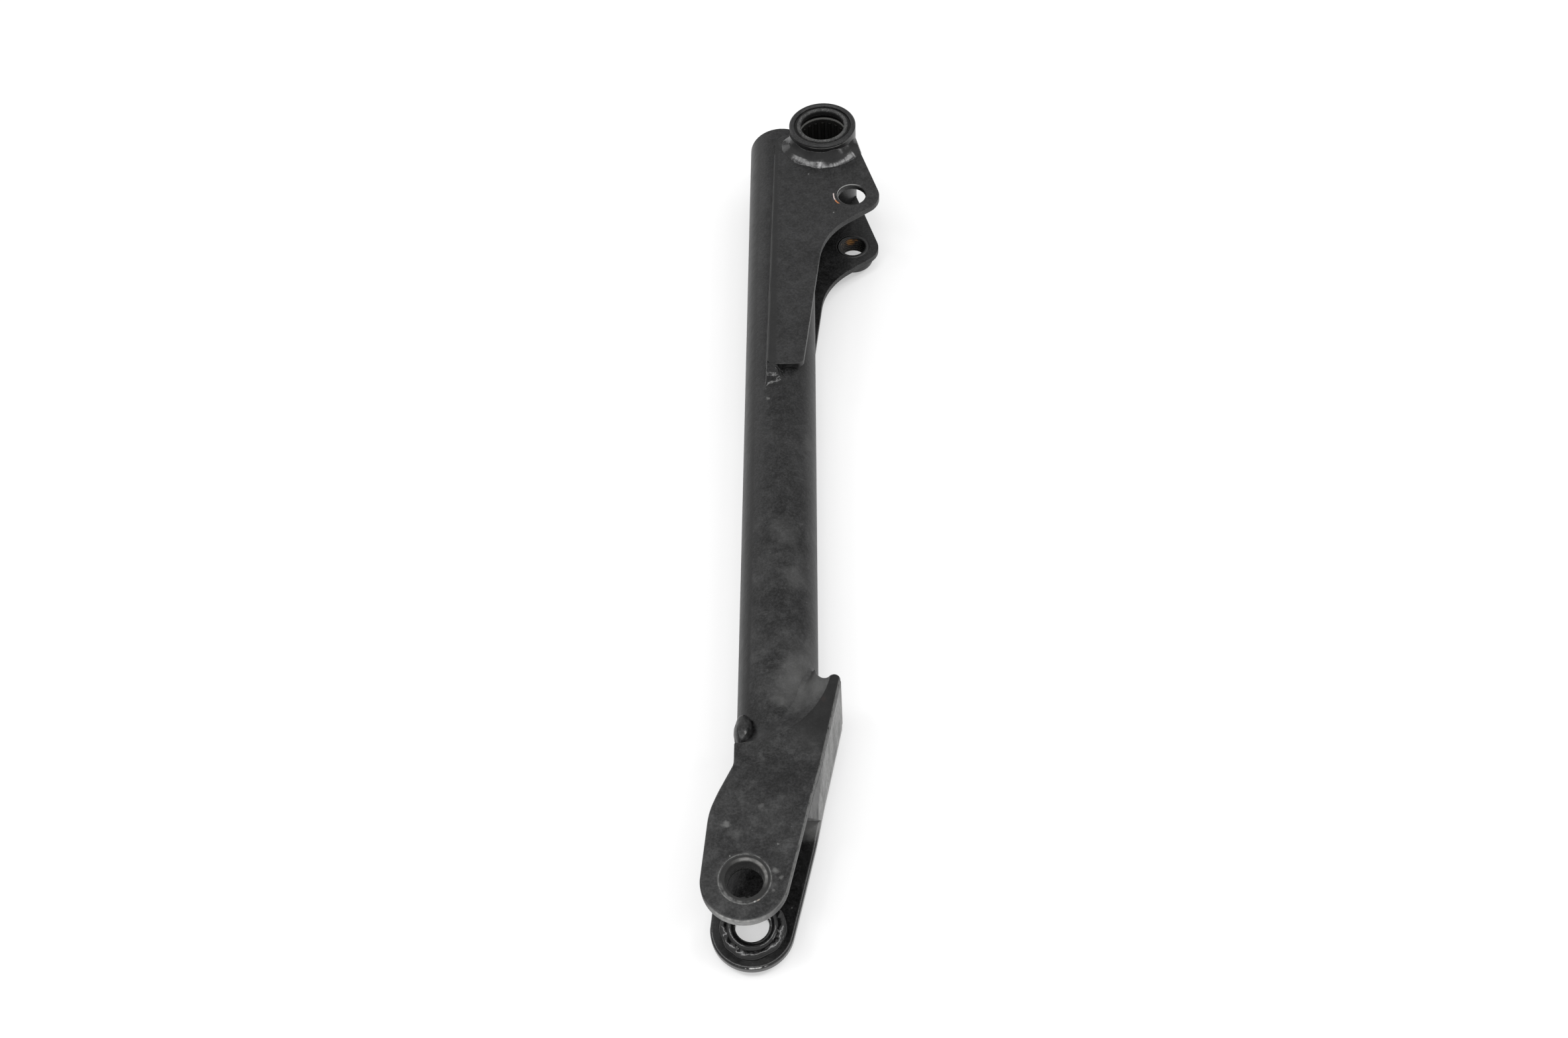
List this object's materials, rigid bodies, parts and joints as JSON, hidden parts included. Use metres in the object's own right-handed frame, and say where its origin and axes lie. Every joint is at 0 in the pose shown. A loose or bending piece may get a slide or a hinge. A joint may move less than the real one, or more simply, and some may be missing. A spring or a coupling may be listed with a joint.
{
  "type": "motorcycle stand leg",
  "caption": "Black steel motorcycle stand leg: round tube with a sealed needle-bearing pivot and eared side plates at the top, and an open fork at the foot end.",
  "frame": {"origin": "centre of the pivot bore, halfway along it", "axes": "+Z along the pivot bore, +Y up the leg towards the pivot, +X from the tube towards the ears"},
  "size_m": [0.0693, 0.402, 0.052],
  "materials": {
    "black_paint": "satin black paint, dusty",
    "weld_paint": "glossier black paint over weld beads",
    "worn_paint": "worn grey paint",
    "nut_steel": "painted outside, rusty thread",
    "bearing_steel": "oily bearing steel",
    "seal_rubber": "matte dusty rubber"
  },
  "bodies": {
    "stand_leg": {"leg_tube": "black_paint", "pivot_boss": "black_paint", "fork_web": "worn_paint", "ear_weld_nut": "nut_steel", "ear_nut_weld": "weld_paint", "upper_side_plate": "black_paint", "lower_side_plate": "black_paint", "upper_fork_plate": "black_paint", "lower_fork_plate": "black_paint", "upper_fork_bush": "black_paint", "lower_fork_bush": "black_paint", "upper_bearing_shell": "bearing_steel", "lower_bearing_shell": "bearing_steel", "upper_seal": "seal_rubber", "lower_seal": "seal_rubber", "upper_boss_weld": "weld_paint", "lower_boss_weld": "weld_paint", "upper_rear_boss_weld": "weld_paint", "lower_rear_boss_weld": "weld_paint", "upper_seam_weld": "weld_paint", "lower_seam_weld": "weld_paint", "upper_toe_weld": "weld_paint", "lower_toe_weld": "weld_paint", "upper_fork_weld": "weld_paint", "lower_fork_weld": "weld_paint", "upper_fork_weld_stop": "weld_paint", "lower_fork_weld_stop": "weld_paint", "upper_bush_weld": "weld_paint", "lower_bush_weld": "weld_paint"},
    "upper_needle_cage": {"upper_bearing_cage": "bearing_steel", "upper_bearing_needles": "bearing_steel"},
    "lower_needle_cage": {"lower_bearing_cage": "bearing_steel", "lower_bearing_needles": "bearing_steel"}
  },
  "joints": [
    {"name": "upper_cage_turn", "type": "hinge", "parent": "stand_leg", "child": "upper_needle_cage", "pos_m": [0, 0, 0.0108], "axis": [0, 0, 1], "continuous": true},
    {"name": "lower_cage_turn", "type": "hinge", "parent": "stand_leg", "child": "lower_needle_cage", "pos_m": [0, 0, -0.0108], "axis": [0, 0, 1], "continuous": true}
  ]
}
